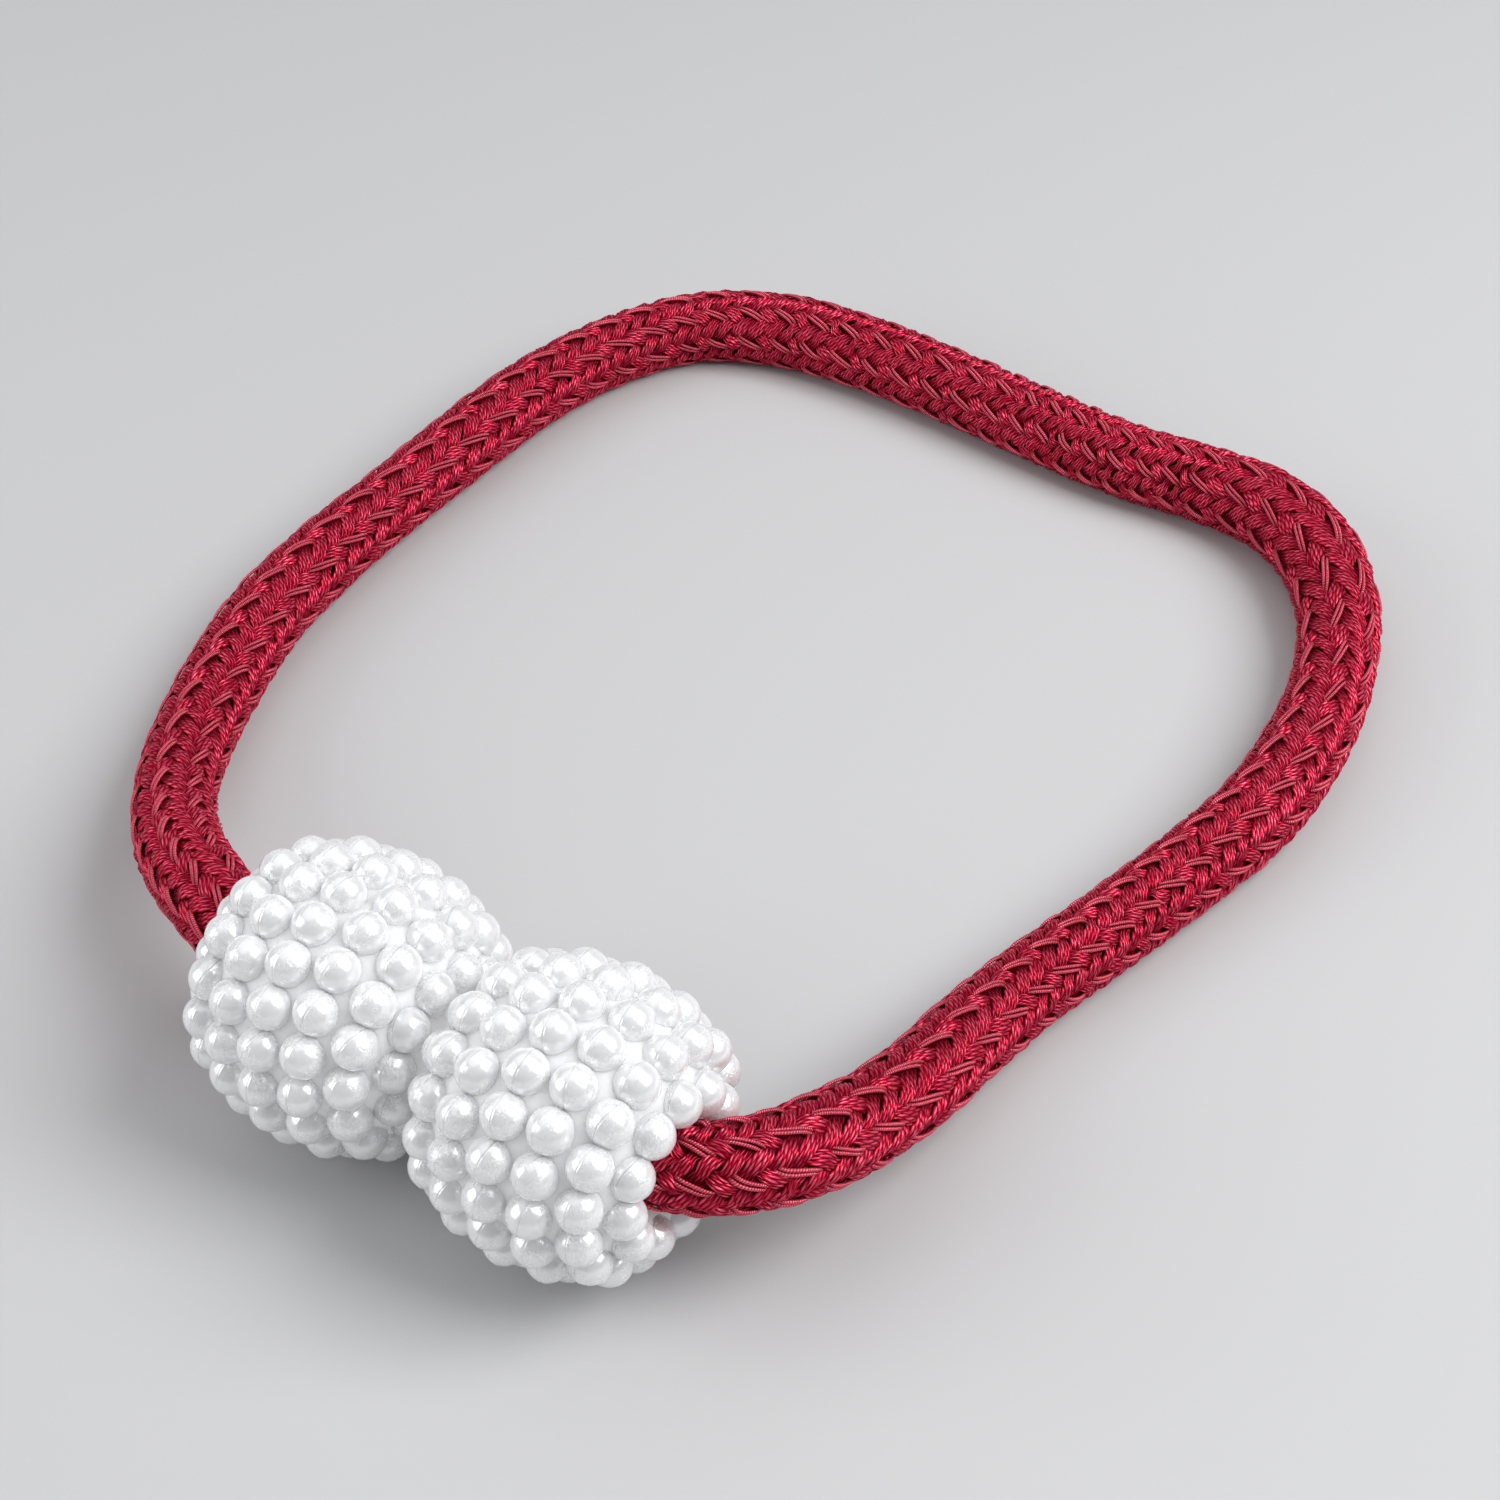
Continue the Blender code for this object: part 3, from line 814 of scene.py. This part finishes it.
class TiebackBallSettings(bpy.types.PropertyGroup):
    """Sizes and colours of the beaded balls."""

    bead_radius: FloatProperty(
        name="Bead radius", description="Radius of a pearl bead",
        default=0.0029, unit='LENGTH', precision=5)
    bead_sink: FloatProperty(
        name="Bead sink", description="How far a bead sits towards the middle of its ball",
        default=0.0001, unit='LENGTH', precision=5)
    bead_sides: IntProperty(
        name="Bead sides", description="Steps round a bead's seam", default=26, min=12, max=48)
    seam_tilt: FloatProperty(
        name="Seam tilt", description="How unevenly the beads' seams lie",
        default=radians(7), subtype='ANGLE')
    pearl_color: FloatVectorProperty(
        name="Pearl", description="Colour of the pearl lacquer", subtype='COLOR',
        default=(0.9, 0.905, 0.915))
    mottle_color: FloatVectorProperty(
        name="Mottling", description="Colour of the lacquer's mottled patches", subtype='COLOR',
        default=(0.95, 0.95, 0.95))
    # Colour of the painted shade in the fold of a bead's seam.
    seam_shade_color: FloatVectorProperty(
        name="Seam", description="Colour in the fold of a bead's seam", subtype='COLOR',
        default=(0.42, 0.41, 0.42))
    # Own colour of the moulded body, which its faint painted glow also takes.
    body_color: FloatVectorProperty(
        name="Body", description="Colour of the moulded body", subtype='COLOR',
        default=(0.97, 0.965, 0.97))


class TiebackStageSettings(bpy.types.PropertyGroup):
    """Camera, floor and lights."""

    target: FloatVectorProperty(
        name="Target", description="Point on the surface that the camera looks at",
        default=(0.0035, 0.0051, 0.0), subtype='XYZ', unit='LENGTH')
    distance: FloatProperty(
        name="Distance", description="Distance of the camera from its target",
        default=0.4504, unit='LENGTH')
    azimuth: FloatProperty(
        name="Azimuth", description="Direction of the camera round the tieback",
        default=radians(34.5), subtype='ANGLE')
    elevation: FloatProperty(
        name="Elevation", description="Height of the camera over the surface, as an angle",
        default=radians(41.2), subtype='ANGLE')
    lens: FloatProperty(name="Lens", description="Focal length in millimetres", default=73.9)
    floor_color: FloatVectorProperty(
        name="Floor", description="Colour of the floor", subtype='COLOR',
        default=(0.54, 0.54, 0.545))
    room_color: FloatVectorProperty(
        name="Room", description="Colour of the light from all round", subtype='COLOR',
        default=(0.9, 0.92, 0.95))
    room_strength: FloatProperty(
        name="Room light", description="Strength of the light from all round", default=0.3)
    key_power: FloatProperty(
        name="Key light", description="Power of the main soft light", default=7.6)
    fill_power: FloatProperty(
        name="Fill light", description="Power of the soft light from the front left", default=3.0)
    top_power: FloatProperty(
        name="Top light", description="Power of the wide light overhead", default=16.5)


# Pieces

def join_frame(piece, node):
    """Makes a piece ride on the tieback and stand for a solid, whose part it hides."""
    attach(piece, BODY)
    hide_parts(node)


class TIEBACK_OT_rope_core(bpy.types.Operator):
    """Lay the core of the rope along its run, coloured in painted shade"""

    bl_idname = "tieback.rope_core"
    bl_label = "Rope core"

    def execute(self, context):
        settings = context.scene.tieback_rope
        along, around = np.meshgrid(
            np.linspace(0.0, ROPE.length, CORE_ROWS),
            np.arange(CORE_SIDES) * 2 * pi / CORE_SIDES, indexing="ij")
        parts = MeshParts()
        parts.add_tube(ROPE.points(along, around, np.full(along.shape, settings.core_depth)))
        core = parts.build("rope_core", core_material(settings))
        join_frame(core, ROPE_NODE)
        return {'FINISHED'}


def braid_bundles(settings, lean, first_rings, pieces, seed):
    """Braids flat bundles that are laid the same way, in so many pieces."""
    way = 'right' if lean > 0 else 'left'
    finish = silk_material(f"{way}_laid_silk", settings, settings.body_color, PLIED)
    draw = np.random.default_rng(seed)
    for piece_number, share in enumerate(np.array_split(np.array(first_rings), pieces), 1):
        parts = MeshParts()
        for first_ring in share:
            add_bundle(parts, settings, first_ring, lean, int(2 * first_ring) + seed, draw)
        piece = parts.build(f"{way}_laid_bundles_{piece_number}", finish)
        join_frame(piece, ROPE_NODE)


class TIEBACK_OT_left_laid_bundles(bpy.types.Operator):
    """Braid the flat bundles that turn towards the outside of the loop"""

    bl_idname = "tieback.left_laid_bundles"
    bl_label = "Left-laid bundles"

    def execute(self, context):
        rings = [strand / 2 + 0.25 for strand in range(2 * RIBS)]
        braid_bundles(context.scene.tieback_rope, -1, rings, 3, LEFT_LAID_SEED)
        return {'FINISHED'}


class TIEBACK_OT_right_laid_bundles(bpy.types.Operator):
    """Braid the flat bundles that turn towards the inside of the loop"""

    bl_idname = "tieback.right_laid_bundles"
    bl_label = "Right-laid bundles"

    def execute(self, context):
        rings = [strand + 0.5 for strand in range(RIBS)]
        braid_bundles(context.scene.tieback_rope, 1, rings, 2, RIGHT_LAID_SEED)
        return {'FINISHED'}


class TIEBACK_OT_wrapped_cords(bpy.types.Operator):
    """Braid in the pairs of thin wrapped cords, between the right-laid bundles"""

    bl_idname = "tieback.wrapped_cords"
    bl_label = "Wrapped cords"

    def execute(self, context):
        settings = context.scene.tieback_rope
        draw = np.random.default_rng(CORD_SEED)
        parts = MeshParts()
        for strand in range(RIBS):
            add_wrapped_pair(parts, settings, strand, strand, draw)
        finish = silk_material("wrapped_silk", settings, settings.cord_color, WRAPPED)
        cords = parts.build("wrapped_cords", finish)
        join_frame(cords, ROPE_NODE)
        return {'FINISHED'}


def ball_middle(side):
    """Middle of a ball, on the axis that both share."""
    return Vector((CLOSURE[0] + MOUTH_SIDE[side] * BALL_OFFSET, CLOSURE[1], BALL_HEIGHT))


def bead_template(sides):
    """A bead of radius 1 whose poles lie along Z and whose seam runs round its equator.

    Gives its points, its faces, and which points lie in the fold of the seam.
    """
    around = np.arange(sides) * 2 * pi / sides
    points = [(0.0, 0.0, -1.0)]
    for row in BEAD_ROWS:
        reach = 1 + row.swell
        level = radians(row.latitude)
        for angle in around:
            points.append((reach * cos(level) * cos(angle), reach * cos(level) * sin(angle),
                           reach * sin(level)))
    points.append((0.0, 0.0, 1.0))
    faces = []
    last = len(points) - 1
    for index in range(sides):
        ahead = (index + 1) % sides
        faces.append((0, 1 + ahead, 1 + index))
        for row in range(len(BEAD_ROWS) - 1):
            start = 1 + row * sides
            faces.append((start + index, start + ahead, start + sides + ahead,
                          start + sides + index))
        start = last - sides
        faces.append((start + index, start + ahead, last))
    seam = np.zeros(len(points))
    seam[1:-1] = np.repeat([float(row.swell < 0) for row in BEAD_ROWS], sides)
    return np.array(points), faces, seam


class TIEBACK_OT_pearl_beads(bpy.types.Operator):
    """Set the pearl beads on both balls, ring by ring"""

    bl_idname = "tieback.pearl_beads"
    bl_label = "Pearl beads"

    def execute(self, context):
        settings = context.scene.tieback_ball
        material = pearl_material(settings)
        draw = np.random.default_rng(BEAD_SEED)
        template, template_faces, template_seam = bead_template(settings.bead_sides)
        for side, node in BALL_NODES.items():
            points, faces, seams = [], [], []
            for ring in RINGS:
                turn = radians(ring.turn_right if side == "right" else ring.turn_left)
                for index in range(ring.beads):
                    angle = turn + 2 * pi * index / ring.beads
                    centre = Vector((ring.along, -sin(angle) * ring.radius,
                                     cos(angle) * ring.radius))
                    centre -= centre.normalized() * settings.bead_sink
                    tilt = draw.normal(0.0, settings.seam_tilt, 2)
                    pole = Vector((1.0, tilt[0], tilt[1])).normalized()
                    first = pole.orthogonal().normalized()
                    basis = np.array([first, pole.cross(first), pole])
                    size = settings.bead_radius * (1 + draw.normal(0.0, BEAD_UNEVENNESS))
                    place = np.array(centre + ball_middle(side))
                    start = sum(len(p) for p in points)
                    points.append(template @ basis * size + place)
                    faces += [[start + v for v in face] for face in template_faces]
                    seams.append(template_seam)
            points = np.concatenate(points)
            points[:, 2] = np.maximum(points[:, 2], SURFACE_CLEARANCE)
            mesh = bpy.data.meshes.new(f"pearl_beads_{side}")
            mesh.from_pydata(points.tolist(), [], faces)
            seam = mesh.attributes.new("seam", 'FLOAT', 'POINT')
            seam.data.foreach_set("value", np.concatenate(seams))
            beads = finished_object(f"pearl_beads_{side}", mesh, material)
            join_frame(beads, node)
        return {'FINISHED'}


class TIEBACK_OT_ball_bodies(bpy.types.Operator):
    """Mould the white bodies that carry the beads"""

    bl_idname = "tieback.ball_bodies"
    bl_label = "Ball bodies"

    def execute(self, context):
        material = body_material(context.scene.tieback_ball)
        around = np.arange(BODY_SIDES) * 2 * pi / BODY_SIDES
        for side, node in BALL_NODES.items():
            rows = []
            middle = np.array(ball_middle(side))
            for along, radius in BODY_SECTION:
                radius = max(radius, TUBE_END_RADIUS)
                ring = np.stack([np.full(BODY_SIDES, along * MOUTH_SIDE[side]),
                                 radius * np.cos(around), radius * np.sin(around)], axis=-1)
                rows.append(ring + middle)
            rows = np.array(rows)
            if MOUTH_SIDE[side] > 0:
                rows = rows[:, ::-1]
            parts = MeshParts()
            parts.add_tube(rows)
            join_frame(parts.build(f"ball_body_{side}", material), node)
        return {'FINISHED'}


def hang_light(soft, power, target):
    """Hangs one of the soft lights so that it faces the target."""
    light = bpy.data.lights.new(soft.name, 'AREA')
    light.shape = 'SQUARE'
    light.size = soft.size
    light.energy = power
    lamp = bpy.data.objects.new(soft.name, light)
    toward = Vector(soft.direction).normalized()
    lamp.location = Vector(target) + toward * soft.distance
    lamp.rotation_mode = 'QUATERNION'
    lamp.rotation_quaternion = toward.to_track_quat('Z', 'Y')
    bpy.context.scene.collection.objects.link(lamp)


class TIEBACK_OT_stage(bpy.types.Operator):
    """Lay the floor, hang the soft lights and set the camera"""

    bl_idname = "tieback.stage"
    bl_label = "Stage"

    def execute(self, context):
        settings = context.scene.tieback_stage
        scene = context.scene
        corners = [(x * FLOOR_REACH, y * FLOOR_REACH, 0.0)
                   for x, y in ((-1, -1), (1, -1), (1, 1), (-1, 1))]
        mesh = bpy.data.meshes.new("floor")
        mesh.from_pydata(corners, [], [(0, 1, 2, 3)])
        paint = {"Base Color": color4(settings.floor_color), "Roughness": 0.85}
        finished_object("floor", mesh, new_material("floor_paint", paint)[0])

        world = bpy.data.worlds.new("soft_room")
        world.use_nodes = True
        background = world.node_tree.nodes["Background"]
        background.inputs["Color"].default_value = color4(settings.room_color)
        background.inputs["Strength"].default_value = settings.room_strength
        scene.world = world
        powers = settings.key_power, settings.fill_power, settings.top_power
        for soft, power in zip(LIGHTS, powers):
            hang_light(soft, power, settings.target)

        camera_data = bpy.data.cameras.new("camera")
        camera_data.lens = settings.lens
        camera_data.sensor_width = 36.0
        camera_data.clip_start = 0.01
        camera = bpy.data.objects.new("camera", camera_data)
        round_it, over_it = settings.azimuth, settings.elevation
        back = Vector((sin(round_it) * cos(over_it), -cos(round_it) * cos(over_it), sin(over_it)))
        camera.location = Vector(settings.target) + back * settings.distance
        camera.rotation_mode = 'QUATERNION'
        camera.rotation_quaternion = back.to_track_quat('Z', 'Y')
        scene.collection.objects.link(camera)
        scene.camera = camera
        scene.view_settings.view_transform = 'Standard'
        return {'FINISHED'}


class TIEBACK_PT_panel(bpy.types.Panel):
    """Steps and settings of the tieback"""

    bl_idname = "TIEBACK_PT_panel"
    bl_label = "Curtain tieback"
    bl_space_type = 'VIEW_3D'
    bl_region_type = 'UI'
    bl_category = "Tieback"

    def draw(self, context):
        layout = self.layout
        for steps, settings in PANEL_ROWS:
            box = layout.box()
            for step in steps:
                box.operator(step.bl_idname)
            group = getattr(context.scene, settings)
            for name in group.__annotations__:
                box.prop(group, name)


STEPS = (
    TIEBACK_OT_stage,
    TIEBACK_OT_rope_core,
    TIEBACK_OT_left_laid_bundles,
    TIEBACK_OT_right_laid_bundles,
    TIEBACK_OT_wrapped_cords,
    TIEBACK_OT_ball_bodies,
    TIEBACK_OT_pearl_beads,
)
PANEL_ROWS = (
    (STEPS[1:5], "tieback_rope"),
    (STEPS[5:], "tieback_ball"),
    (STEPS[:1], "tieback_stage"),
)
SETTINGS = {
    "tieback_rope": TiebackRopeSettings,
    "tieback_ball": TiebackBallSettings,
    "tieback_stage": TiebackStageSettings,
}


def register():
    """Adds the classes and the scene's settings."""
    for kind in (*SETTINGS.values(), *STEPS, TIEBACK_PT_panel):
        bpy.utils.register_class(kind)
    for name, kind in SETTINGS.items():
        setattr(bpy.types.Scene, name, PointerProperty(type=kind))


def unregister():
    """Takes the settings and the classes away again."""
    for name in SETTINGS:
        delattr(bpy.types.Scene, name)
    for kind in reversed((*SETTINGS.values(), *STEPS, TIEBACK_PT_panel)):
        bpy.utils.unregister_class(kind)


def main():
    """Runs every step in order."""
    register()
    for step in STEPS:
        name = step.bl_idname.split(".")[1]
        getattr(bpy.ops.tieback, name)()


if __name__ == "__main__":
    main()
